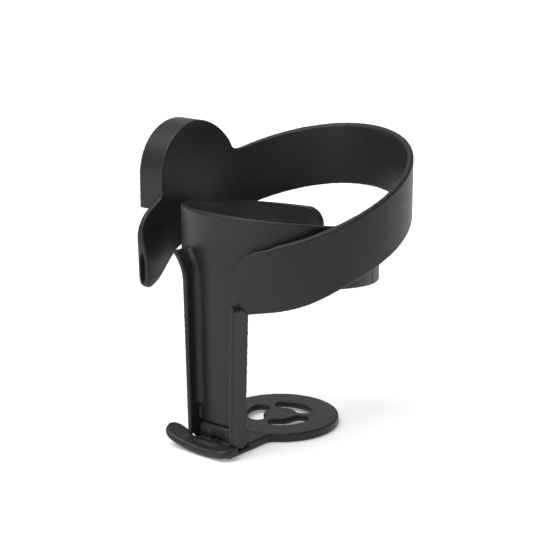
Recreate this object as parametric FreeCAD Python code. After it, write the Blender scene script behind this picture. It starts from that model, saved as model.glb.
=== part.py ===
import FreeCAD, Part
import math
import os

from FreeCAD import Vector

# Clip-on cup and bottle holder. Millimetres, +Z up.
# The origin is the centre of the rest disc's underside, so the cup's axis is +Z.
# The column stands at -Y, the collar's gap faces +Y and the hood that hangs on the frame faces -X.

# Collar: a C round the cup
collar_inner_r = 35.6
collar_wall = 2.4
collar_top_z = 85.0          # height of its rim over the cup's axis
collar_top_slope = -0.158    # the rim falls towards the gap
collar_bottom_z = 61.8
collar_bottom_slope = -0.118
collar_gap_half_angle = 10.5
arm_corner_r = 7.5
parting_angle = 13.0         # where the right arm's end piece starts
parting_gap = 0.6
tenon_wall = 1.0
tenon_length = 4.0

# Column: a channel that is open to the outside
column_half_width_top = 12.5
column_half_width_bottom = 10.9
column_wall = 2.1            # flanges, at the taper's top
column_wall_bottom = 1.7
column_bottom_z = 4.8
channel_depth = 4.5          # how far the flanges stand out from the collar's outside
column_taper_top_z = 64.0
flare_reach = 5.4            # how far the left flange spreads at its top
flare_top_z = 75.5
flange_right_top_z = 61.4    # where the tongue takes over, at the flange's front
flange_right_top_slope = -0.8
window_top_z = 9.6           # opening in the column's wall that the foot folds through

# Foot: rest disc, neck and finger lip in one plate
disc_r = 23.0
plate_thickness = 3.5
neck_thickness = 3.3         # a little lower, so the cup rests on the disc alone
recess_r = 17.0              # hollow under the disc
recess_depth = 1.0
stop_gap = 0.25              # round the upstand that closes the column's window
neck_half_width = 10.9
neck_blend_r = 5.0
lip_left_x = -20.2
lip_right_x = 12.6
lip_overlap = 3.7            # how far its ends reach back beside the flanges
lip_reach = 5.3              # how far the lip stands out past the flanges
lip_under_r = 49.0           # the lip is part of a wide arc, so its ends rise
lip_over_r = 54.0            # its top is a little flatter, so it thins towards its ends
lip_corner_r = 4.5
drain_ring_r = 9.8
drain_slot_width = 6.4
drain_slot_sweep = 62.0
drain_slot_count = 3

# Foot hinge
hinge_inset = 1.8            # how far the pin lies inside the collar's outside
hinge_z = 6.6
pin_r = 1.25
pin_running_clearance = 0.05
knuckle_r = 2.4
knuckle_inner_x = 3.0
washer_thickness = 0.4
washer_r = 2.5
side_clearance = 0.05
fold_clearance = 0.35
cheek_r = 4.3                # the flanges' lower ends round the pin

# Support loop: a tilted band round the collar
loop_clearance = 6.4         # between the collar and the loop, at the right side
loop_wall = 2.4
loop_centre_y = 6.0
loop_height = 23.4
loop_top_z = 94.0            # height of its top edge over the loop's centre
loop_slope_y = 0.36
loop_slope_x = 0.07
back_top_z = 95.88           # the same for the loop's back half, which is flatter
back_top_slope_x = 0.03
back_bottom_z = 71.6
back_bottom_slope_x = 0.045
tongue_end_x = 8.0
tongue_top_r = 14.0
tongue_bottom_r = 9.0
tongue_top_drop = 1.6        # the tongue's tip is this much lower than the band's edge
loop_seat_clearance = 0.15

# Hood at the loop's left side
hood_centre_y = 2.2
hood_r = 20.5
hood_centre_z = 95.0
hood_bottom_z = 82.0
hood_depth = 10.1
hood_side_wall = 2.4
hood_back_wall = 0.3        # between the band's outer face and the cavity
cover_thickness = 2.2
cover_rim = 1.2
cover_clearance = 0.15

# Receiver inside the hood
pocket_width = 20.2
pocket_depth = 4.6
pocket_height = 25.0
sleeve_wall = 1.4

# Detent that clicks into the frame's tongue
detent_z = 95.5
detent_nose_r = 1.6
detent_nose_reach = 1.2
detent_flange_r = 2.5
detent_flange_length = 2.2
detent_guide_clearance = 0.08
spring_thickness = 0.3       # bowed steel strip behind the detent
spring_width = 4.0
spring_half_length = 5.4
spring_seat_wall = 1.1       # flat pad inside the hood's side wall

# Fasteners
screw_shank_r = 1.25
screw_head_r = 2.4
screw_head_height = 1.3
screw_fit = 0.03
boss_r = 2.6

# Values worked out from the ones above
collar_outer_r = collar_inner_r + collar_wall
loop_inner_r = collar_outer_r + loop_clearance
loop_outer_r = loop_inner_r + loop_wall
column_front_y = -(collar_outer_r + channel_depth)
hinge_y = -(collar_outer_r - hinge_inset)
lip_back_y = column_front_y + lip_overlap
lip_front_y = column_front_y - lip_reach
neck_waist_y = 4.0 - collar_inner_r
column_inner_bottom = column_half_width_bottom - column_wall_bottom
knuckle_outer_x = column_inner_bottom - washer_thickness - 2 * side_clearance
hood_outer_x = -(loop_outer_r + hood_depth)
cavity_x_out = hood_outer_x + cover_thickness
cavity_x_in = -(loop_outer_r + hood_back_wall)
cavity_middle_x = (cavity_x_out + cavity_x_in) / 2
pocket_wall_y = hood_centre_y + pocket_width / 2
detent_flange_y = pocket_wall_y + sleeve_wall + 0.1
spring_seat_y = hood_centre_y + hood_r - hood_side_wall - spring_seat_wall
tongue_screw_length = 2.5 + collar_wall
cover_screw_depth = 0.8      # how far the cover screws reach past the cavity
cover_screw_length = cavity_x_in - cover_screw_depth - hood_outer_x
far = 200.0


def flat_face(corners, place):
    """Face from (u, v, radius) corners. Each corner is rounded to its radius; place maps (u, v) to 3-D."""
    points = [Vector(u, v, 0) for u, v, _ in corners]
    ends = []
    for index, corner in enumerate(points):
        radius = corners[index][2]
        to_last = (points[index - 1] - corner).normalize()
        to_next = (points[(index + 1) % len(points)] - corner).normalize()
        half_turn = to_last.getAngle(to_next) / 2
        if radius == 0:
            ends.append((corner, corner, corner))
            continue
        reach = radius / math.tan(half_turn)
        middle_way = (to_last + to_next).normalize()
        middle = corner + middle_way * (radius / math.sin(half_turn) - radius)
        ends.append((corner + to_last * reach, middle, corner + to_next * reach))
    edges = []
    for index, (start, middle, end) in enumerate(ends):
        if corners[index][2] > 0:
            edges.append(Part.Arc(place(start), place(middle), place(end)).toShape())
        following = ends[(index + 1) % len(ends)][0]
        if (following - end).Length > 1e-6:
            edges.append(Part.LineSegment(place(end), place(following)).toShape())
    return Part.Face(Part.Wire(edges))


def prism_x(corners, x_low, x_high):
    face = flat_face(corners, lambda p: Vector(x_low, p.x, p.y))
    return face.extrude(Vector(x_high - x_low, 0, 0))


def prism_y(corners, y_low, y_high):
    face = flat_face(corners, lambda p: Vector(p.x, y_low, p.y))
    return face.extrude(Vector(0, y_high - y_low, 0))


def prism_z(corners, z_low, z_high):
    face = flat_face(corners, lambda p: Vector(p.x, p.y, z_low))
    return face.extrude(Vector(0, 0, z_high - z_low))


def block(x_low, x_high, y_low, y_high, z_low, z_high):
    corner = Vector(x_low, y_low, z_low)
    return Part.makeBox(x_high - x_low, y_high - y_low, z_high - z_low, corner)


def rod(radius, start, end):
    way = end - start
    return Part.makeCylinder(radius, way.Length, start, way)


def upright(radius, x=0.0, y=0.0, z_low=0.0, z_high=far):
    return rod(radius, Vector(x, y, z_low), Vector(x, y, z_high))


def half_space(z_at_axis, slope_x, slope_y, axis_y, side):
    """Large block under (side -1) or over (side 1) the plane z = z_at_axis + slopes * distance."""
    normal = Vector(-slope_x, -slope_y, 1).normalize()
    sheet = Part.makePlane(2 * far, 2 * far, Vector(0, axis_y, z_at_axis), normal)
    sheet.translate(Vector(0, axis_y, z_at_axis) - sheet.CenterOfMass)
    return sheet.extrude(normal * far * side)


def sector(angle_from, angle_to, z_low=0.0, z_high=far):
    """Wedge about the cup's axis between two angles from +X, counter-clockwise."""
    steps = 6
    rim = []
    for step in range(steps + 1):
        angle = math.radians(angle_from + (angle_to - angle_from) * step / steps)
        rim.append((far * math.cos(angle), far * math.sin(angle), 0))
    return prism_z([(0, 0, 0)] + rim, z_low, z_high)


def screw(tip, way, length):
    """Countersunk screw: its flat head's outer face lies at tip - way * length."""
    head_face = tip - way * length
    neck = head_face + way * screw_head_height
    head = Part.makeCone(screw_head_r, screw_shank_r, screw_head_height, head_face, way)
    socket = rod(0.75, head_face - way, head_face + way * 0.8)
    return head.fuse(rod(screw_shank_r, neck, tip)).cut(socket).removeSplitter()


def screw_hole(tip, way, length):
    """Room for a screw, with its countersink, a little larger all over."""
    head_face = tip - way * length
    cone = Part.makeCone(screw_head_r + screw_fit, screw_shank_r + screw_fit, screw_head_height,
                         head_face, way)
    shank = rod(screw_shank_r + screw_fit, head_face + way * (screw_head_height - 0.1), tip + way * screw_fit)
    lead_in = rod(screw_head_r + screw_fit, head_face - way * 3, head_face)
    return cone.fuse([shank, lead_in])


# ---------------------------------------------------------------- shared shapes

def loop_space(clearance=0.0):
    """Everything inside the band's inner face: round, then straight down the left side."""
    radius = loop_inner_r - clearance
    straight = block(-radius, 0, -far, loop_centre_y, 0, far)
    return upright(radius, 0, loop_centre_y).fuse(straight)


def hood_outline(inset, bottom_z):
    """Arch in the Y-Z plane: straight sides and a round top."""
    half = hood_r - inset
    top = hood_centre_z + half
    return [
        (hood_centre_y - half, bottom_z, 0),
        (hood_centre_y + half, bottom_z, 0),
        (hood_centre_y + half, top, half),
        (hood_centre_y - half, top, half),
    ]


def tongue_screw_tips():
    """Tips of the two screws that hold the tongue, with their direction out from the cup's axis."""
    tips = []
    for angle, z in ((-68.5, 71.0), (-60.5, 74.5)):
        way = Vector(math.cos(math.radians(angle)), math.sin(math.radians(angle)), 0)
        tips.append((way * (collar_outer_r + 2.5) + Vector(0, 0, z), way))
    return tips


def cover_screw_tips():
    """Tips of the three screws that hold the hood's cover; they point to +X."""
    side = 14.6
    places = [(hood_centre_y - side, 86.6), (hood_centre_y + side, 86.6), (hood_centre_y, 112.0)]
    return [(Vector(cavity_x_in - cover_screw_depth, y, z), Vector(1, 0, 0)) for y, z in places]


# ---------------------------------------------------------------- column and collar

def collar_band(inner_r, outer_r):
    band = upright(outer_r).cut(upright(inner_r))
    under_top = half_space(collar_top_z, 0, collar_top_slope, 0, -1)
    over_bottom = half_space(collar_bottom_z, 0, collar_bottom_slope, 0, 1)
    return band.common(under_top).common(over_bottom)


def arm_end_cut(side):
    """What rounds off one arm's end: the gap's sector and the two corners."""
    end_x = side * collar_outer_r * math.sin(math.radians(collar_gap_half_angle))
    y_end = collar_outer_r * math.cos(math.radians(collar_gap_half_angle))
    inner_end = side * (abs(end_x) + 3 * arm_corner_r)
    y_inner = math.sqrt(collar_outer_r ** 2 - inner_end ** 2)
    keep = prism_y([
        (end_x, collar_top_z + collar_top_slope * y_end, arm_corner_r),
        (end_x, collar_bottom_z + collar_bottom_slope * y_end, arm_corner_r),
        (inner_end, collar_bottom_z + collar_bottom_slope * y_end, 0),
        (inner_end, collar_top_z + collar_top_slope * y_inner, 0),
    ], 10, 60)
    x_pair = sorted((0, inner_end - side * arm_corner_r))
    return block(x_pair[0], x_pair[1], 10, 60, 20, 120).cut(keep)


def collar_arms():
    arms = collar_band(collar_inner_r, collar_outer_r)
    return arms.cut(arm_end_cut(-1)).cut(arm_end_cut(1))


def flare_arc(inset):
    """Left flange's spread in the X-Z plane: a quarter-like arc that starts upright at the taper's top."""
    rise = flare_top_z - column_taper_top_z
    radius = (rise ** 2 + flare_reach ** 2) / (2 * flare_reach)
    middle_reach = radius - math.sqrt(radius ** 2 - (rise / 2) ** 2)
    x = -column_half_width_top + inset
    return [(x, column_taper_top_z), (x - middle_reach, column_taper_top_z + rise / 2), (x - flare_reach, flare_top_z)]


def flange_left():
    """Side wall of the channel; it spreads outwards at its top."""
    def place(point):
        return Vector(point[0], column_front_y, point[1])
    outer = flare_arc(0)
    inner = flare_arc(column_wall)
    outer_foot = (-column_half_width_bottom, column_bottom_z)
    inner_foot = (-column_inner_bottom, column_bottom_z)
    edges = [
        Part.LineSegment(place(outer_foot), place(outer[0])).toShape(),
        Part.Arc(*[place(point) for point in outer]).toShape(),
        Part.LineSegment(place(outer[2]), place(inner[2])).toShape(),
        Part.Arc(*[place(point) for point in reversed(inner)]).toShape(),
        Part.LineSegment(place(inner[0]), place(inner_foot)).toShape(),
        Part.LineSegment(place(inner_foot), place(outer_foot)).toShape(),
    ]
    wall = Part.Face(Part.Wire(edges)).extrude(Vector(0, -column_front_y, 0))
    return wall.cut(upright(collar_inner_r + 0.6))


def flange_right():
    """Side wall of the channel; its top is notched for the loop's tongue."""
    wall = prism_y([
        (column_half_width_bottom, column_bottom_z, 0),
        (column_half_width_top, column_taper_top_z, 0),
        (column_half_width_top, flare_top_z, 0),
        (column_half_width_top - column_wall, flare_top_z, 0),
        (column_half_width_top - column_wall, column_taper_top_z, 0),
        (column_inner_bottom, column_bottom_z, 0),
    ], column_front_y, 0)
    over_tongue = half_space(flange_right_top_z, 0, flange_right_top_slope, column_front_y, 1)
    over_tongue = over_tongue.common(block(0, far, -far, 0, 0, far))
    notch = tongue_outline(loop_seat_clearance).cut(loop_space(loop_seat_clearance))
    over_tongue = over_tongue.cut(upright(collar_outer_r))
    return wall.cut(upright(collar_inner_r + 0.6)).cut(notch).cut(over_tongue)


def column_back():
    """The channel's floor: part of a tube round the cup."""
    corners = [
        (-column_half_width_bottom, column_bottom_z, 0),
        (column_half_width_bottom, column_bottom_z, 0),
        (column_half_width_top, column_taper_top_z, 0),
        (column_half_width_top, flare_top_z, 0),
        (-column_half_width_top, flare_top_z, 0),
        (-column_half_width_top, column_taper_top_z, 0),
    ]
    tube = upright(collar_outer_r).cut(upright(collar_inner_r))
    return prism_y(corners, -60, 0).common(tube)


def hinge_cheek(side):
    """Round lower end of a flange, about the foot's pin."""
    inner = Vector(side * column_inner_bottom, hinge_y, hinge_z)
    outer = Vector(side * column_half_width_bottom, hinge_y, hinge_z)
    return rod(cheek_r, inner, outer).common(block(-far, far, column_front_y, 0, 0, far))


def column_collar():
    window = block(-column_inner_bottom, column_inner_bottom, -60, 0, 0, window_top_z)
    back = column_back().cut(window.cut(upright(far).cut(upright(collar_outer_r + 1))))
    body = collar_arms().fuse([back, flange_left(), flange_right(), hinge_cheek(-1), hinge_cheek(1)])
    room_for_end = collar_band(collar_inner_r, collar_outer_r).common(sector(parting_angle, 90))
    body = body.cut(room_for_end).fuse(tenon(0.0))
    for tip, way in tongue_screw_tips():
        body = body.cut(screw_hole(tip, way, tongue_screw_length))
    blind_end = column_half_width_bottom - 0.8
    bore = rod(pin_r, Vector(-20, hinge_y, hinge_z), Vector(blind_end, hinge_y, hinge_z))
    return body.cut(bore).removeSplitter()


def tenon(clearance):
    """Key between the right arm and its end piece, in the middle of the wall."""
    middle_r = (collar_inner_r + collar_outer_r) / 2
    half = tenon_wall / 2 + clearance
    ring = upright(middle_r + half).cut(upright(middle_r - half))
    sweep = math.degrees((tenon_length + clearance) / middle_r)
    middle_y = middle_r * math.sin(math.radians(parting_angle))
    top = collar_top_z + collar_top_slope * middle_y
    bottom = collar_bottom_z + collar_bottom_slope * middle_y
    middle_z = (top + bottom) / 2
    half_height = (top - bottom) / 4 + clearance
    return ring.common(sector(parting_angle - 0.5, parting_angle + sweep,
                              middle_z - half_height, middle_z + half_height))


def collar_end_piece():
    gap_angle = math.degrees(parting_gap / collar_outer_r)
    piece = collar_arms().common(sector(parting_angle + gap_angle, 90))
    return piece.cut(tenon(0.04)).removeSplitter()


# ---------------------------------------------------------------- foot

def drain_slots():
    """Plain kidney-shaped slots on a ring."""
    slots = []
    half = drain_slot_width / 2
    for index in range(drain_slot_count):
        start = 90 + index * 360 / drain_slot_count - drain_slot_sweep / 2
        ring = upright(drain_ring_r + half, z_low=-1, z_high=10)
        ring = ring.cut(upright(drain_ring_r - half, z_low=-1, z_high=10))
        slot = ring.common(sector(start, start + drain_slot_sweep, -1, 10))
        for angle in (start, start + drain_slot_sweep):
            x = drain_ring_r * math.cos(math.radians(angle))
            y = drain_ring_r * math.sin(math.radians(angle))
            slot = slot.fuse(upright(half, x, y, -1, 10))
        slots.append(slot)
    return slots


def lip():
    """Finger lip across the column's front, its ends curling up and reaching back past the flanges."""
    inner_y = column_front_y - fold_clearance
    wing_x = column_half_width_bottom + fold_clearance
    back = Vector(0, lip_front_y - 5, 0)
    under_axis = back + Vector(0, 0, lip_under_r)
    over_axis = back + Vector(0, 0, plate_thickness + lip_over_r)
    length = Vector(0, -back.y, 0)
    curl = rod(lip_under_r, under_axis, under_axis + length)
    curl = curl.cut(rod(lip_over_r, over_axis, over_axis + length))
    plan = prism_z([
        (lip_left_x, lip_front_y, lip_corner_r),
        (lip_right_x, lip_front_y, lip_corner_r),
        (lip_right_x, lip_back_y - 1.5, 1.0),
        (wing_x, lip_back_y - 1.5, 0),
        (wing_x, inner_y, 0),
        (-wing_x, inner_y, 0),
        (-wing_x, lip_back_y, 0),
        (lip_left_x, lip_back_y, 3.5),
    ], -1, lip_under_r / 2)
    return curl.common(plan)


def skirt():
    """Closes the plate under the flanges: full width in front of the cheeks, and thin below them."""
    half = neck_half_width - 0.15
    front_y = column_front_y - 1.3
    cheek_front_y = hinge_y - cheek_r - fold_clearance
    in_front = block(-half, half, front_y, cheek_front_y, 0.05, column_bottom_z - fold_clearance)
    return in_front.fuse(block(-half, half, front_y, neck_waist_y + 2, 0.05, hinge_z - cheek_r - fold_clearance))


def foot_plate():
    narrow = knuckle_outer_x
    waist_y = neck_waist_y
    disc = upright(disc_r, z_high=plate_thickness)
    neck = prism_z([
        (-neck_half_width, -10, 0),
        (-neck_half_width, waist_y, 1.5),
        (-narrow, waist_y - 2, 1.5),
        (-narrow, column_front_y - 2, 0),
        (narrow, column_front_y - 2, 0),
        (narrow, waist_y - 2, 1.5),
        (neck_half_width, waist_y, 1.5),
        (neck_half_width, -10, 0),
    ], 0, neck_thickness)
    plate = disc.fuse(neck).fuse(skirt()).fuse(foot_stop()).fuse(lip())
    centre_x = neck_half_width + neck_blend_r
    centre_y = -math.sqrt((disc_r + neck_blend_r) ** 2 - centre_x ** 2)
    touch = disc_r / (disc_r + neck_blend_r)
    for side in (-1, 1):
        blend = prism_z([
            (0, centre_y * touch + 3, 0),
            (side * centre_x * touch, centre_y * touch, 0),
            (side * centre_x, centre_y, 0),
            (0, centre_y, 0),
        ], 0, neck_thickness)
        plate = plate.fuse(blend.cut(upright(neck_blend_r, side * centre_x, centre_y)))
    for side in (-1, 1):
        inner = Vector(side * knuckle_inner_x, hinge_y, hinge_z)
        outer = Vector(side * knuckle_outer_x, hinge_y, hinge_z)
        web_x = sorted((inner.x, outer.x))
        web = block(web_x[0], web_x[1], hinge_y - knuckle_r, hinge_y + knuckle_r, plate_thickness - 1, hinge_z)
        plate = plate.fuse(rod(knuckle_r, inner, outer)).fuse(web)
    bore = rod(pin_r + pin_running_clearance, Vector(-20, hinge_y, hinge_z), Vector(20, hinge_y, hinge_z))
    for slot in drain_slots():
        plate = plate.cut(slot)
    recess = upright(recess_r, z_low=-1, z_high=recess_depth)
    return plate.cut(bore).cut(recess).removeSplitter()


def foot_stop():
    """Curved upstand in the column's window. It carries the channel's floor on down and stops the foot."""
    wall = upright(collar_outer_r).cut(upright(collar_inner_r))
    half = knuckle_outer_x
    swing = rod(window_top_z - hinge_z - stop_gap, Vector(-half, hinge_y, hinge_z), Vector(half, hinge_y, hinge_z))
    return wall.common(swing).common(block(-half, half, -far, 0, neck_thickness - 1, far))


def foot_pin():
    start = Vector(-(column_half_width_bottom - 0.3), hinge_y, hinge_z)
    end = Vector(column_half_width_bottom - 0.9, hinge_y, hinge_z)
    return rod(pin_r, start, end)


def foot_washers():
    washers = []
    for side in (-1, 1):
        inner = Vector(side * (knuckle_outer_x + side_clearance), hinge_y, hinge_z)
        outer = inner + Vector(side * washer_thickness, 0, 0)
        hole = rod(pin_r + pin_running_clearance, inner - Vector(side, 0, 0), outer + Vector(side, 0, 0))
        washers.append(rod(washer_r, inner, outer).cut(hole))
    return Part.makeCompound(washers)


# ---------------------------------------------------------------- support loop and hood

def loop_band():
    radius = loop_outer_r
    straight = block(-radius, 0, -60, loop_centre_y, 0, far)
    wall = upright(radius, 0, loop_centre_y).fuse(straight).cut(loop_space())
    under_top = half_space(loop_top_z, loop_slope_x, loop_slope_y, loop_centre_y, -1)
    over_bottom = half_space(loop_top_z - loop_height, loop_slope_x, loop_slope_y, loop_centre_y, 1)
    front = wall.common(under_top).common(over_bottom).common(block(0, far, -far, loop_centre_y, 0, far))
    under_back = half_space(back_top_z, back_top_slope_x, loop_slope_y, loop_centre_y, -1)
    over_back = half_space(back_bottom_z, back_bottom_slope_x, loop_slope_y, loop_centre_y, 1)
    back = wall.common(under_back).common(over_back).common(block(-far, far, loop_centre_y, far, 0, far))
    left_top = loop_top_z - loop_slope_x * loop_outer_r
    left_bottom = back_bottom_z - back_bottom_slope_x * loop_outer_r
    lobe = prism_x([
        (loop_centre_y, left_top, 0),
        (-13.5, left_top, 4),
        (-31.0, 80.0, 13),
        (-30.2, 51.2, 2.6),
        (-9.0, 66.5, 18),
        (loop_centre_y, left_bottom, 0),
    ], -far, 0)
    return front.cut(tongue_end_cut()).fuse([back, wall.common(lobe)])


def band_top(x, y):
    """Height of the band's top edge over a place in plan."""
    return loop_top_z + loop_slope_x * x + loop_slope_y * (y - loop_centre_y)


def tongue_outline(clearance=0.0):
    """Rounded end of the tongue, as seen from the front, through the loop's front half."""
    def front_top(x):
        return band_top(x, loop_centre_y - math.sqrt(loop_outer_r ** 2 - x ** 2))
    right = tongue_end_x + tongue_top_r + 2
    end_x = tongue_end_x - clearance
    return prism_y([
        (end_x, front_top(tongue_end_x) - tongue_top_drop + clearance, tongue_top_r + clearance),
        (right, front_top(right) + clearance, 0),
        (right, front_top(right) - loop_height - clearance, 0),
        (end_x, front_top(tongue_end_x) - loop_height - clearance, tongue_bottom_r + clearance),
    ], -60, -20)


def tongue_end_cut():
    corner_zone = block(-1, tongue_end_x + tongue_top_r + 1, -60, -20, 20, 120)
    return corner_zone.cut(tongue_outline())


def hood():
    outer = prism_x(hood_outline(0, hood_bottom_z), hood_outer_x, 0).cut(loop_space())
    outer = outer.cut(block(-30, far, -far, far, 0, far))
    cavity = prism_x(hood_outline(hood_side_wall, 0), cavity_x_out - 1, cavity_x_in)
    cover_seat = prism_x(hood_outline(cover_rim, 0), hood_outer_x - 1, cavity_x_out)
    spring_pad = block(cavity_x_out, cavity_x_in, spring_seat_y, hood_centre_y + hood_r - 1,
                       detent_z - spring_half_length - 0.5, detent_z + spring_half_length + 0.5)
    shell = outer.cut(cavity).cut(cover_seat).fuse(spring_pad)
    for tip, way in cover_screw_tips():
        boss = rod(boss_r, Vector(cavity_x_out, tip.y, tip.z), Vector(cavity_x_in + 0.5, tip.y, tip.z))
        shell = shell.fuse(boss)
    return shell


def support_loop():
    loop = loop_band().fuse(hood())
    for tip, way in tongue_screw_tips():
        boss = rod(boss_r, tip - way * 2.4, tip + way * 1.5)
        boss = boss.cut(upright(collar_outer_r + 0.05)).common(loop_space(-loop_wall / 2))
        loop = loop.fuse(boss)
    for tip, way in tongue_screw_tips():
        loop = loop.cut(screw_hole(tip, way, tongue_screw_length))
    for tip, way in cover_screw_tips():
        loop = loop.cut(screw_hole(tip, way, cover_screw_length))
    return loop.removeSplitter()


def hood_cover():
    plate = prism_x(hood_outline(cover_rim + cover_clearance, hood_bottom_z), hood_outer_x, cavity_x_out)
    for tip, way in cover_screw_tips():
        plate = plate.cut(screw_hole(tip, way, cover_screw_length))
    return plate


def screws(tips, length):
    return Part.makeCompound([screw(tip, way, length) for tip, way in tips])


def receiver_sleeve():
    """Liner with the pocket that the frame's tongue slides up into."""
    half_y = pocket_width / 2 + sleeve_wall
    x_low = cavity_x_out + 0.1
    x_high = cavity_x_in - 0.1
    top = hood_bottom_z + pocket_height + sleeve_wall
    body = block(x_low, x_high, hood_centre_y - half_y, hood_centre_y + half_y, hood_bottom_z, top)
    middle_x = cavity_middle_x
    pocket = block(middle_x - pocket_depth / 2, middle_x + pocket_depth / 2,
                   hood_centre_y - pocket_width / 2, hood_centre_y + pocket_width / 2,
                   hood_bottom_z - 1, hood_bottom_z + pocket_height)
    nose_hole = rod(detent_nose_r + detent_guide_clearance,
                    Vector(middle_x, hood_centre_y, detent_z), Vector(middle_x, hood_centre_y + far, detent_z))
    return body.cut(pocket).cut(nose_hole)


def detent_plunger():
    nose_tip = Vector(cavity_middle_x, pocket_wall_y - detent_nose_reach, detent_z)
    ball_centre = nose_tip + Vector(0, detent_nose_r, 0)
    flange_start = Vector(cavity_middle_x, detent_flange_y, detent_z)
    nose = Part.makeSphere(detent_nose_r, ball_centre)
    shank = rod(detent_nose_r, ball_centre, flange_start)
    collar = rod(detent_flange_r, flange_start, flange_start + Vector(0, detent_flange_length, 0))
    return nose.fuse([shank, collar]).removeSplitter()


def detent_spring():
    """Bowed strip: its crown presses on the detent and its ends stand on the hood's pad."""
    crown_y = detent_flange_y + detent_flange_length + 0.02
    ends_y = spring_seat_y - 0.02
    height = ends_y - crown_y
    radius = (spring_half_length ** 2 + height ** 2) / (2 * height)
    x_low = cavity_middle_x - spring_width / 2
    start = Vector(x_low, crown_y + radius, detent_z)
    end = start + Vector(spring_width, 0, 0)
    strip = rod(radius, start, end).cut(rod(radius - spring_thickness, start, end))
    return strip.common(block(x_low, x_low + spring_width, 0, ends_y, 0, far))


NODES = {
    "column_collar": column_collar,
    "collar_end_piece": collar_end_piece,
    "foot_plate": foot_plate,
    "foot_pin": foot_pin,
    "foot_washers": foot_washers,
    "support_loop": support_loop,
    "tongue_screws": lambda: screws(tongue_screw_tips(), tongue_screw_length),
    "hood_cover": hood_cover,
    "cover_screws": lambda: screws(cover_screw_tips(), cover_screw_length),
    "receiver_sleeve": receiver_sleeve,
    "detent_plunger": detent_plunger,
    "detent_spring": detent_spring,
}

os.makedirs("parts", exist_ok=True)
for name, make in NODES.items():
    shape = make()
    box = shape.BoundBox
    print(name, "solids", len(shape.Solids), "valid", shape.isValid(), "volume", round(shape.Volume, 1),
          "z", round(box.ZMin, 2), round(box.ZMax, 2))
    shape.exportStep("parts/" + name + ".step")
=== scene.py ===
"""Clip-on cup and bottle holder in charcoal plastic: looks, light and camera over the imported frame."""
import math

import bmesh
import bpy
import numpy as np
from mathutils import Euler, Matrix, Vector


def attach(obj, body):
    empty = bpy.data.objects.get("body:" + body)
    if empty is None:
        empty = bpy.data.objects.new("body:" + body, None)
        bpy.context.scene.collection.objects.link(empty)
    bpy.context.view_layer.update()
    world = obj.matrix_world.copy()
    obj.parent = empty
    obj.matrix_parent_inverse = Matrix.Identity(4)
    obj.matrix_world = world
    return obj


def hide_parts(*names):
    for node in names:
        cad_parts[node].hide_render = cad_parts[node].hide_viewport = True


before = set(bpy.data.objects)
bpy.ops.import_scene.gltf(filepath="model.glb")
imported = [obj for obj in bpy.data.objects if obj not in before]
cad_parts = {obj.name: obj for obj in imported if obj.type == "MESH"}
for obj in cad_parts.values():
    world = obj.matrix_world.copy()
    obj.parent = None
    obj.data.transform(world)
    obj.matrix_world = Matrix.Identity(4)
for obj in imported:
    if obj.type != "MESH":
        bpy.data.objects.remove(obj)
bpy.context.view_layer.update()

MM = 0.001
scene = bpy.context.scene

# Main sizes, in millimetres, the same as the frame's
COLLAR_OUTER_R = 38.0
COLLAR_INNER_R = 35.6
COLLAR_TOP_Z = 85.0
COLLAR_TOP_SLOPE = -0.158
COLLAR_BOTTOM_Z = 61.8
COLLAR_BOTTOM_SLOPE = -0.118
COLUMN_BOTTOM_Z = 4.8
TAPER_TOP_Z = 64.0
FLARE_TOP_Z = 75.5
FLARE_R = 14.95
CHANNEL_HALF_WIDTH = 9.2     # at the column's bottom
CHANNEL_SPREAD = 1.2         # how much wider each side is at the taper's top
CHANNEL_FILLET_R = 2.4
CHANNEL_FILLET_BOTTOM_Z = 16.2
TONGUE_FILLET_TOP_Z = 57.5   # right side, under the tongue
PARTING_ANGLE = 13.0
PARTING_GAP = 0.6
LOOP_AXIS_Y = 6.0
LOOP_OUTER_R = 46.8
LOOP_INNER_R = 44.4
LOOP_TOP_Z = 94.0
LOOP_HEIGHT = 23.4
LOOP_SLOPE_X = 0.07
LOOP_SLOPE_Y = 0.36
HOOD_AXIS_Y = 2.2
HOOD_AXIS_Z = 95.0
HOOD_R = 20.5
HOOD_BOTTOM_Z = 82.0
HOOD_OUTER_X = -56.9
COVER_THICKNESS = 2.2
COVER_RIM = 1.2
HOOD_SIDE_WALL = 2.4
CAVITY_INNER_X = -47.1
CUT_OVERRUN = 1.0            # how far a cutter reaches out of what it cuts
CUT_BELOW = 5.0              # the same, under the hood

# How finely the moulded skins are made, in millimetres
FINE_GRAIN = 0.3
LARGE_GRAIN = 0.5
FOOT_GRAIN = 0.42
PATCH_STEPS = 48
SHARP_ANGLE = math.radians(40.0)


# ---------------------------------------------------------------- shape helpers

def node_shape(*nodes):
    """Frame nodes as one bmesh, their loose triangles joined."""
    shape = bmesh.new()
    for node in nodes:
        shape.from_mesh(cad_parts[node].data)
    bmesh.ops.remove_doubles(shape, verts=shape.verts, dist=1e-7)
    return shape


def add_shape(shape, other):
    """Puts another bmesh into this one; the skin made later joins them."""
    mesh = bpy.data.meshes.new("part")
    other.to_mesh(mesh)
    other.free()
    shape.from_mesh(mesh)
    bpy.data.meshes.remove(mesh)


def new_piece(shape, name):
    mesh = bpy.data.meshes.new(name)
    shape.to_mesh(mesh)
    shape.free()
    piece = bpy.data.objects.new(name, mesh)
    scene.collection.objects.link(piece)
    return piece


def settle(piece):
    """Applies a piece's modifiers to its mesh."""
    graph = bpy.context.evaluated_depsgraph_get()
    finished = bpy.data.meshes.new_from_object(piece.evaluated_get(graph))
    rough = piece.data
    piece.modifiers.clear()
    piece.data = finished
    bpy.data.meshes.remove(rough)


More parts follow.
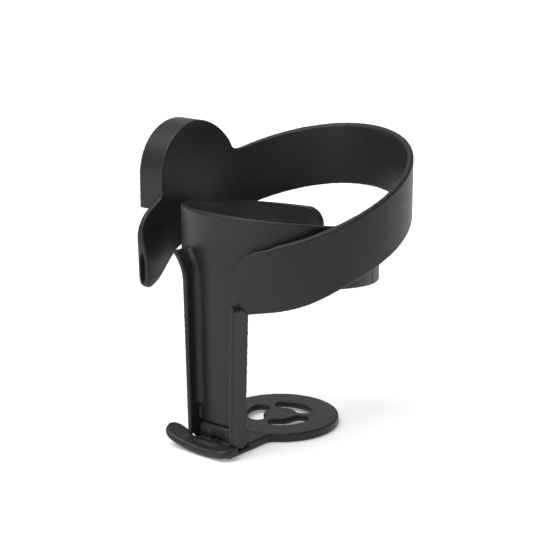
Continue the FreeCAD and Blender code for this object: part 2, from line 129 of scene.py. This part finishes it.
def relax(mesh, rounds, give_back):
    """Averages each point with its neighbours, then gives back most of what the thin edges lost."""
    count = len(mesh.vertices)
    places = np.empty(count * 3)
    mesh.vertices.foreach_get("co", places)
    places = places.reshape(-1, 3)
    ends = np.empty(len(mesh.edges) * 2, int)
    mesh.edges.foreach_get("vertices", ends)
    first, second = ends.reshape(-1, 2).T
    near = np.bincount(first, minlength=count) + np.bincount(second, minlength=count)

    def averaged(values):
        sums = [
            np.bincount(first, values[second, axis], count) + np.bincount(second, values[first, axis], count)
            for axis in range(3)
        ]
        return np.stack(sums, axis=1) / near[:, None]

    lost = places.copy()
    for _ in range(rounds):
        places += 0.5 * (averaged(places) - places)
    lost -= places
    for _ in range(rounds):
        lost += 0.5 * (averaged(lost) - lost)
    places += give_back * lost
    mesh.vertices.foreach_set("co", places.ravel())
    mesh.update()


def skin_over(piece, grain):
    """Even skin of small squares over everything that the piece is made of, askew to its edges."""
    askew = Euler((0.5, 0.35, 0.6)).to_matrix().to_4x4()
    piece.data.transform(askew)
    skin = piece.modifiers.new("skin", "REMESH")
    skin.mode = "VOXEL"
    skin.voxel_size = grain * MM
    settle(piece)
    piece.data.transform(askew.inverted())


def soften(shape, name, rounds, grain=LARGE_GRAIN, sculpt=None):
    """Rounds every edge of a closed shape as a mould leaves it, over a fine skin and then an even one."""
    piece = new_piece(shape, name)
    skin_over(piece, FINE_GRAIN)
    relax(piece.data, rounds, 1.4)
    if sculpt:
        sculpt(piece.data)
    skin_over(piece, grain)
    relax(piece.data, 3, 1.0)
    return piece


def cut_out(piece, cutter):
    """Takes a closed shape out of a piece."""
    tool = new_piece(cutter, "cutter")
    cut = piece.modifiers.new("cut", "BOOLEAN")
    cut.operation = "DIFFERENCE"
    cut.solver = "EXACT"
    cut.object = tool
    settle(piece)
    bpy.data.objects.remove(tool)


def smooth_shade(piece):
    for face in piece.data.polygons:
        face.use_smooth = True
    piece.data.set_sharp_from_angle(angle=SHARP_ANGLE)


def extrude_all(shape):
    """Doubles every face and gives the points of the copy, ready to be moved."""
    grown = bmesh.ops.extrude_face_region(shape, geom=shape.faces[:])
    return [part for part in grown["geom"] if isinstance(part, bmesh.types.BMVert)]


def wall_patch(axis_y, inner_r, outer_r, angles, low, high):
    """Piece of a round wall between two angles; low and high give its edges' heights at (x, y, way along)."""
    shape = bmesh.new()
    bmesh.ops.create_grid(shape, x_segments=PATCH_STEPS, y_segments=1, size=0.5)
    for vert in shape.verts:
        along = vert.co.x + 0.5
        angle = math.radians(angles[0] + (angles[1] - angles[0]) * along)
        x = outer_r * math.cos(angle)
        y = axis_y + outer_r * math.sin(angle)
        height = high(x, y, along) if vert.co.y > 0 else low(x, y, along)
        vert.co = Vector((x, y, height)) * MM
    moved = extrude_all(shape)
    ratio = inner_r / outer_r
    bmesh.ops.scale(shape, vec=(ratio, ratio, 1), verts=moved,
                    space=Matrix.Translation((0, -axis_y * MM, 0)))
    bmesh.ops.recalc_face_normals(shape, faces=shape.faces)
    return shape


def arch_block(half, bottom_z, x_low, x_high):
    """Solid arch across the X axis: straight sides, a round top."""
    shape = bmesh.new()
    bmesh.ops.create_circle(shape, cap_ends=True, segments=96, radius=half)
    for vert in shape.verts:
        across, up = vert.co.x, vert.co.y
        if up < -0.01:
            up = bottom_z - HOOD_AXIS_Z
            across = half * round(across / max(abs(across), 0.01))
        vert.co = Vector((x_low, HOOD_AXIS_Y + across, HOOD_AXIS_Z + up)) * MM
    bmesh.ops.remove_doubles(shape, verts=shape.verts, dist=1e-6)
    moved = extrude_all(shape)
    bmesh.ops.translate(shape, vec=((x_high - x_low) * MM, 0, 0), verts=moved)
    bmesh.ops.recalc_face_normals(shape, faces=shape.faces)
    return shape


def hump(along):
    """Smooth rise and fall over 0 to 1."""
    return math.sin(math.pi * along) ** 2


# ---------------------------------------------------------------- collar and column

def collar_top(x, y, along):
    return COLLAR_TOP_Z + COLLAR_TOP_SLOPE * y


def collar_bottom(x, y, along):
    return COLLAR_BOTTOM_Z + COLLAR_BOTTOM_SLOPE * y


def holder_body():
    """Collar, its end piece and the column in one skin; the end piece is parted from it afterwards."""
    shape = node_shape("column_collar", "collar_end_piece")
    add_shape(shape, wall_patch(
        0, COLLAR_INNER_R, COLLAR_OUTER_R, (PARTING_ANGLE - 4, PARTING_ANGLE), collar_bottom, collar_top))
    add_shape(shape, channel_corner(-1, FLARE_TOP_Z))
    add_shape(shape, channel_corner(1, TONGUE_FILLET_TOP_Z))
    return soften(shape, "collar_and_column", 22)


def flange_inside(side, z):
    """Inner face of a flange at a height: tapered, and spreading at the left flange's top."""
    way_up = min(max((z - COLUMN_BOTTOM_Z) / (TAPER_TOP_Z - COLUMN_BOTTOM_Z), 0.0), 1.0)
    half = CHANNEL_HALF_WIDTH + CHANNEL_SPREAD * way_up
    if side < 0 and z > TAPER_TOP_Z:
        half += FLARE_R - math.sqrt(FLARE_R ** 2 - (z - TAPER_TOP_Z) ** 2)
    return half


def channel_corner(side, top_z):
    """Hollow fillet down one corner of the channel, so that its inside is one shallow trough."""
    shape = bmesh.new()
    radius = CHANNEL_FILLET_R
    into_wall, into_floor = 0.7, 1.0
    levels, turns = 16, 8
    rings = []
    for level in range(levels + 1):
        z = CHANNEL_FILLET_BOTTOM_Z + (top_z - CHANNEL_FILLET_BOTTOM_Z) * level / levels
        wall_x = flange_inside(side, z)
        middle_x = wall_x - radius
        floor_y = -math.sqrt(COLLAR_OUTER_R ** 2 - middle_x ** 2)
        outline = [
            (wall_x + into_wall, floor_y - radius),
            (wall_x + into_wall, floor_y + into_floor),
            (middle_x, floor_y + into_floor),
        ]
        for step in range(turns + 1):
            turn = math.radians(90 - 90 * step / turns)
            outline.append((middle_x + radius * math.cos(turn), floor_y - radius + radius * math.sin(turn)))
        verts = [shape.verts.new(Vector((side * x, y, z)) * MM) for x, y in outline]
        rings.append([shape.edges.new((verts[i - 1], verts[i])) for i in range(len(verts))])
    for low, high in zip(rings, rings[1:]):
        bmesh.ops.bridge_loops(shape, edges=low + high)
    bmesh.ops.holes_fill(shape, edges=rings[0] + rings[-1], sides=0)
    bmesh.ops.recalc_face_normals(shape, faces=shape.faces)
    return shape


def part_end_piece(piece):
    """Splits the right arm's end off at the parting line."""
    shape = bmesh.new()
    shape.from_mesh(piece.data)
    gap_angle = math.degrees(PARTING_GAP / COLLAR_OUTER_R)
    for angle in (PARTING_ANGLE, PARTING_ANGLE + gap_angle):
        right = [face for face in shape.faces if face.calc_center_median().x > 20 * MM]
        edges = {edge for face in right for edge in face.edges}
        verts = {vert for face in right for vert in face.verts}
        turned = math.radians(angle)
        bmesh.ops.bisect_plane(shape, geom=list(verts) + list(edges) + right, dist=1e-8,
                               plane_co=(0, 0, 0), plane_no=(-math.sin(turned), math.cos(turned), 0))

    def past(face, angle):
        """Whether a face is on the right arm, farther round than an angle. The foot lies below it."""
        middle = face.calc_center_median()
        return angle < math.degrees(math.atan2(middle.y, middle.x)) < 90 and middle.z > 40 * MM

    end = shape.copy()
    beyond = [face for face in shape.faces if past(face, PARTING_ANGLE)]
    before = [face for face in end.faces if not past(face, PARTING_ANGLE + gap_angle)]
    bmesh.ops.delete(shape, context="FACES", geom=beyond)
    bmesh.ops.delete(end, context="FACES", geom=before)
    for part in (shape, end):
        open_edges = [edge for edge in part.edges if edge.is_boundary]
        bmesh.ops.holes_fill(part, edges=open_edges, sides=0)
    shape.to_mesh(piece.data)
    shape.free()
    return new_piece(end, "collar_end")


# ---------------------------------------------------------------- support loop and hood

def band_top(x, y):
    return LOOP_TOP_Z + LOOP_SLOPE_X * x + LOOP_SLOPE_Y * (y - LOOP_AXIS_Y)


def valley_height(x, y, along):
    """Round valley where the hood's arch runs into the band's top edge."""
    radius, middle_y, middle_z = 4.0, 24.33, 105.51
    across = min(abs(y - middle_y), radius - 0.05)
    return middle_z - math.sqrt(radius ** 2 - across ** 2)


def inside_hood_top(x, y, along):
    """A height well inside the wall where the valley's patch starts."""
    return 92


def tongue_bottom(x, y, along):
    """The band's lower edge sags a little between the tongue and the right side."""
    return band_top(x, y) - LOOP_HEIGHT - 1.3 * hump(along)


def above_tongue_bottom(x, y, along):
    return band_top(x, y) - LOOP_HEIGHT + 4


def ease(value):
    """0 below 0, 1 above 1, smooth between."""
    value = min(max(value, 0.0), 1.0)
    return value * value * (3 - 2 * value)


def thicken_lobe(mesh):
    """The lobe's lower front end grows inwards into a thick lip, and closes to a round tip at the bottom."""
    lip_growth, tip_inner, tip_outer = 3.1, 2.4, 1.5
    for vert in mesh.vertices:
        x, y, z = vert.co / MM
        if x > -43.0 or y > -8 or z > 76:
            continue
        share = min(max((x + LOOP_OUTER_R) / (LOOP_OUTER_R - LOOP_INNER_R), 0.0), 1.0)
        front = ease((-9 - y) / 20)
        tip = ease((58 - z) / 7)
        inner = lip_growth * ease((81 - z) / 21) - tip_inner * tip
        outer = tip_outer * tip
        vert.co.x += MM * front * (share * inner + (1 - share) * outer)


def loop_body():
    shape = node_shape("support_loop")
    # The hood is filled for the rounding, and cut hollow again after it
    add_shape(shape, arch_block(
        HOOD_R - 0.02, HOOD_BOTTOM_Z + 0.02, HOOD_OUTER_X + 0.01, CAVITY_INNER_X - 0.4))
    for angles, low, high in (
        ((154.4, 161.2), inside_hood_top, valley_height),
        ((-72, -20), tongue_bottom, above_tongue_bottom),
    ):
        add_shape(shape, wall_patch(LOOP_AXIS_Y, LOOP_INNER_R, LOOP_OUTER_R, angles, low, high))
    piece = soften(shape, "loop_and_hood", 22, sculpt=thicken_lobe)
    for wall, x_low, x_high in (
        (COVER_RIM, HOOD_OUTER_X - CUT_OVERRUN, HOOD_OUTER_X + COVER_THICKNESS),
        (HOOD_SIDE_WALL, HOOD_OUTER_X + CUT_OVERRUN, CAVITY_INNER_X),
    ):
        cut_out(piece, arch_block(HOOD_R - wall, HOOD_BOTTOM_Z - CUT_BELOW, x_low, x_high))
    cut_out(piece, lobe_recess())
    return piece


def lobe_recess():
    """Lens-shaped hollow in the lobe's front end."""
    half_sizes = Vector((1.4 * MM, 4.0 * MM, 6.6 * MM))
    middle = Vector((-44.2 * MM, -31.6 * MM, 61.5 * MM))
    shape = bmesh.new()
    bmesh.ops.create_uvsphere(shape, u_segments=32, v_segments=24, radius=1.0)
    bmesh.ops.scale(shape, vec=half_sizes, verts=shape.verts)
    bmesh.ops.translate(shape, vec=middle, verts=shape.verts)
    return shape


def round_lip(mesh):
    """The finger lip is full and round at its front, like the rim of a spoon."""
    shape = bmesh.new()
    shape.from_mesh(mesh)
    lip_root_y, rounds = -43.3, 70
    front = [vert for vert in shape.verts if vert.co.y < lip_root_y * MM]
    for _ in range(rounds):
        bmesh.ops.smooth_vert(shape, verts=front, factor=0.5,
                              use_axis_x=True, use_axis_y=True, use_axis_z=True)
    shape.to_mesh(mesh)
    shape.free()


def foot_body():
    return soften(node_shape("foot_plate"), "fold_foot", 26, grain=FOOT_GRAIN, sculpt=round_lip)


# ---------------------------------------------------------------- materials

def linear(colour):
    """sRGB hex to linear RGBA."""
    values = []
    for start in (1, 3, 5):
        part = int(colour[start:start + 2], 16) / 255
        values.append(part / 12.92 if part <= 0.04045 else ((part + 0.055) / 1.055) ** 2.4)
    return values[0], values[1], values[2], 1.0


def add_node(tree, kind, settings=None, links=None):
    """Adds a node: settings are inputs or properties by name, links are inputs fed from a socket."""
    node = tree.nodes.new(kind)
    for name, value in (settings or {}).items():
        if name in node.inputs:
            node.inputs[name].default_value = value
        else:
            setattr(node, name, value)
    for name, socket in (links or {}).items():
        tree.links.new(socket, node.inputs[name])
    return node


def per_metre(size_mm):
    """Texture scale at which one feature is this many millimetres across."""
    return 1 / (size_mm * MM)


def empty_material(name):
    material = bpy.data.materials.new(name)
    material.use_nodes = True
    material.node_tree.nodes.clear()
    return material


def moulded_plastic(name, colour, flow_and_sheen_colour, roughness, grain_mm, grain_depth_mm):
    """Injection-moulded plastic: even satin grain, slow flow shading, edges painted lighter as rub wear and
    highlight.
    """
    material = empty_material(name)
    tree = material.node_tree
    place = add_node(tree, "ShaderNodeTexCoord").outputs["Object"]
    flow = add_node(tree, "ShaderNodeTexNoise", {"Scale": per_metre(28), "Detail": 3.0, "Roughness": 0.5},
                    {"Vector": place})
    grain = add_node(tree, "ShaderNodeTexNoise",
                     {"Scale": per_metre(grain_mm), "Detail": 2.0, "Roughness": 0.6},
                     {"Vector": place})
    stretch = add_node(tree, "ShaderNodeMapping", {"Scale": (1.0, 0.25, 3.0), "Rotation": (0.2, 0.5, 0.3)},
                       {"Vector": place})
    rubs = add_node(tree, "ShaderNodeTexNoise", {"Scale": per_metre(3.5), "Detail": 5.0, "Roughness": 0.7},
                    {"Vector": stretch.outputs["Vector"]})
    edges = add_node(tree, "ShaderNodeNewGeometry")
    # Edges painted lighter by pointiness: partly rubbed wear, partly a painted highlight where rims catch
    # light
    edge_wear_and_sheen = add_node(tree, "ShaderNodeMapRange",
                    {"From Min": 0.52, "From Max": 0.60, "To Min": 0.0, "To Max": 0.55},
                    {"Value": edges.outputs["Pointiness"]})
    shade = add_node(tree, "ShaderNodeMapRange",
                     {"From Min": 0.35, "From Max": 0.65, "To Min": 0.0, "To Max": 0.35},
                     {"Value": flow.outputs["Fac"]})
    mix = add_node(tree, "ShaderNodeMath", {"operation": "ADD", "use_clamp": True},
                   {0: edge_wear_and_sheen.outputs["Result"], 1: shade.outputs["Result"]})
    tint = add_node(tree, "ShaderNodeMixRGB", {"Color1": linear(colour), "Color2": linear(flow_and_sheen_colour)},
                    {"Fac": mix.outputs["Value"]})
    gloss = add_node(tree, "ShaderNodeMapRange",
                     {"From Min": 0.35, "From Max": 0.7,
                      "To Min": roughness - 0.04, "To Max": roughness + 0.05},
                     {"Value": rubs.outputs["Fac"]})
    bump = add_node(tree, "ShaderNodeBump", {"Strength": 0.35, "Distance": grain_depth_mm * MM},
                    {"Height": grain.outputs["Fac"]})
    shader = add_node(tree, "ShaderNodeBsdfPrincipled",
                      {"IOR": 1.49, "Metallic": 0.0, "Specular IOR Level": 0.32},
                      {"Base Color": tint.outputs["Color"], "Roughness": gloss.outputs["Result"],
                       "Normal": bump.outputs["Normal"]})
    add_node(tree, "ShaderNodeOutputMaterial", None, {"Surface": shader.outputs["BSDF"]})
    return material


def turned_steel(name, colour, dark_colour, roughness):
    """Small steel parts: dull, faintly clouded, with fine turning marks."""
    material = empty_material(name)
    tree = material.node_tree
    place = add_node(tree, "ShaderNodeTexCoord").outputs["Object"]
    cloud = add_node(tree, "ShaderNodeTexNoise", {"Scale": per_metre(2.0), "Detail": 4.0}, {"Vector": place})
    marks = add_node(tree, "ShaderNodeTexNoise", {"Scale": per_metre(0.3), "Detail": 2.0}, {"Vector": place})
    tint = add_node(tree, "ShaderNodeMixRGB", {"Color1": linear(dark_colour), "Color2": linear(colour)},
                    {"Fac": cloud.outputs["Fac"]})
    gloss = add_node(tree, "ShaderNodeMapRange", {"To Min": roughness - 0.07, "To Max": roughness + 0.1},
                     {"Value": cloud.outputs["Fac"]})
    bump = add_node(tree, "ShaderNodeBump", {"Strength": 0.25, "Distance": 0.02 * MM},
                    {"Height": marks.outputs["Fac"]})
    shader = add_node(tree, "ShaderNodeBsdfPrincipled", {"Metallic": 1.0},
                      {"Base Color": tint.outputs["Color"], "Roughness": gloss.outputs["Result"],
                       "Normal": bump.outputs["Normal"]})
    add_node(tree, "ShaderNodeOutputMaterial", None, {"Surface": shader.outputs["BSDF"]})
    return material


def give(piece, material):
    """Gives the piece, or a frame node through its slots, this one material."""
    if not piece.material_slots:
        piece.data.materials.append(material)
    for slot in piece.material_slots:
        slot.material = material


# ---------------------------------------------------------------- studio

def make_camera():
    lens = bpy.data.cameras.new("camera")
    lens.sensor_width = 36.0
    lens.lens = 98.2
    camera = bpy.data.objects.new("camera", lens)
    scene.collection.objects.link(camera)
    down = math.radians(15.25)
    aim = Vector((-0.629 * math.cos(down), 0.777 * math.cos(down), -math.sin(down)))
    camera.location = (0.3503, -0.4361, 0.2127)
    camera.rotation_euler = aim.to_track_quat("-Z", "Y").to_euler()
    scene.camera = camera


def softbox(name, place, aim, size, power):
    lamp = bpy.data.lights.new(name, "AREA")
    lamp.shape = "RECTANGLE"
    lamp.size, lamp.size_y = size
    lamp.energy = power
    box = bpy.data.objects.new(name, lamp)
    scene.collection.objects.link(box)
    box.location = place
    box.rotation_euler = (Vector(aim) - Vector(place)).to_track_quat("-Z", "Y").to_euler()


def make_studio():
    scene.view_settings.view_transform = "Standard"
    world = bpy.data.worlds.new("room")
    scene.world = world
    world.use_nodes = True
    back = world.node_tree.nodes["Background"]
    back.inputs["Color"].default_value = linear("#FFFFFF")
    back.inputs["Strength"].default_value = 0.22
    sun = bpy.data.lights.new("overhead", "SUN")
    sun.energy = 2.9
    sun.angle = math.radians(60)
    overhead = bpy.data.objects.new("overhead", sun)
    scene.collection.objects.link(overhead)
    overhead.rotation_euler = (math.radians(20), math.radians(-12), 0)
    softbox("left_box", (-0.12, -1.2, 0.35), (0, 0, 0.06), (0.6, 0.6), 1.7)
    softbox("front_box", (0.1, -1.1, 0.8), (0, 0, 0.05), (0.6, 0.6), 0.3)
    softbox("back_box", (-0.95, 1.15, 0.75), (0, 0, 0.05), (1.6, 0.8), 1.9)

    shape = bmesh.new()
    bmesh.ops.create_grid(shape, x_segments=1, y_segments=1, size=4.0)
    floor = new_piece(shape, "floor")
    floor.data.transform(Matrix.Translation((0, 0, -0.0001)))
    paint = bpy.data.materials.new("matt white board")
    paint.use_nodes = True
    shader = paint.node_tree.nodes["Principled BSDF"]
    shader.inputs["Base Color"].default_value = linear("#F4F4F4")
    shader.inputs["Roughness"].default_value = 0.9
    shader.inputs["Emission Color"].default_value = linear("#FFFFFF")
    shader.inputs["Emission Strength"].default_value = 0.25
    give(floor, paint)


# ---------------------------------------------------------------- assembly

make_camera()
make_studio()

# Holder: matte moulded plastic, nearly black. Its separate end piece is a little softer and lighter.
charcoal = moulded_plastic("moulded polypropylene, charcoal", "#202121", "#2C2D2D", 0.42, 0.7, 0.05)
charcoal_end = moulded_plastic("moulded elastomer, charcoal", "#232424", "#303131", 0.48, 0.7, 0.05)
# Foot: the same plastic from another mould, a little lighter in colour, with the same painted edge highlight
# and wear
foot_black = moulded_plastic("moulded polypropylene, foot", "#212222", "#2E2F2F", 0.42, 0.7, 0.05)
# Sliding and rubbing parts: smooth black acetal; the frame's receiver is lined with nylon
acetal = moulded_plastic("acetal, black", "#181818", "#222222", 0.34, 0.5, 0.02)
liner = moulded_plastic("moulded nylon, dark grey", "#2A2B2E", "#37383B", 0.45, 0.7, 0.05)
# Screws bright, the hinge pin blackened, the spring bare and oiled
steel = turned_steel("zinc-plated steel", "#C3C6C9", "#9A9EA3", 0.34)
pin_steel = turned_steel("black-oxide steel", "#2E2E30", "#1E1E20", 0.4)
spring_steel = turned_steel("spring steel, oiled", "#8C8E92", "#606368", 0.3)

body = holder_body()
end_piece = part_end_piece(body)
smooth_shade(body)
smooth_shade(end_piece)
give(body, charcoal)
give(end_piece, charcoal_end)
loop = loop_body()
smooth_shade(loop)
give(loop, charcoal)
foot = foot_body()
smooth_shade(foot)
give(foot, foot_black)

for piece, body_name, node, slot in (
    (body, "holder", "column_collar", "moulded_plastic"),
    (end_piece, "holder", "collar_end_piece", "soft_end"),
    (loop, "holder", "support_loop", "moulded_plastic"),
    (foot, "foot", "foot_plate", "foot_plastic"),
):
    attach(piece, body_name)
    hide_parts(node)

NODE_MATERIALS = {
    "foot_pin": pin_steel,
    "foot_washers": acetal,
    "tongue_screws": steel,
    "hood_cover": charcoal,
    "cover_screws": steel,
    "receiver_sleeve": liner,
    "detent_plunger": acetal,
    "detent_spring": spring_steel,
}
for node, material in NODE_MATERIALS.items():
    give(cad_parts[node], material)
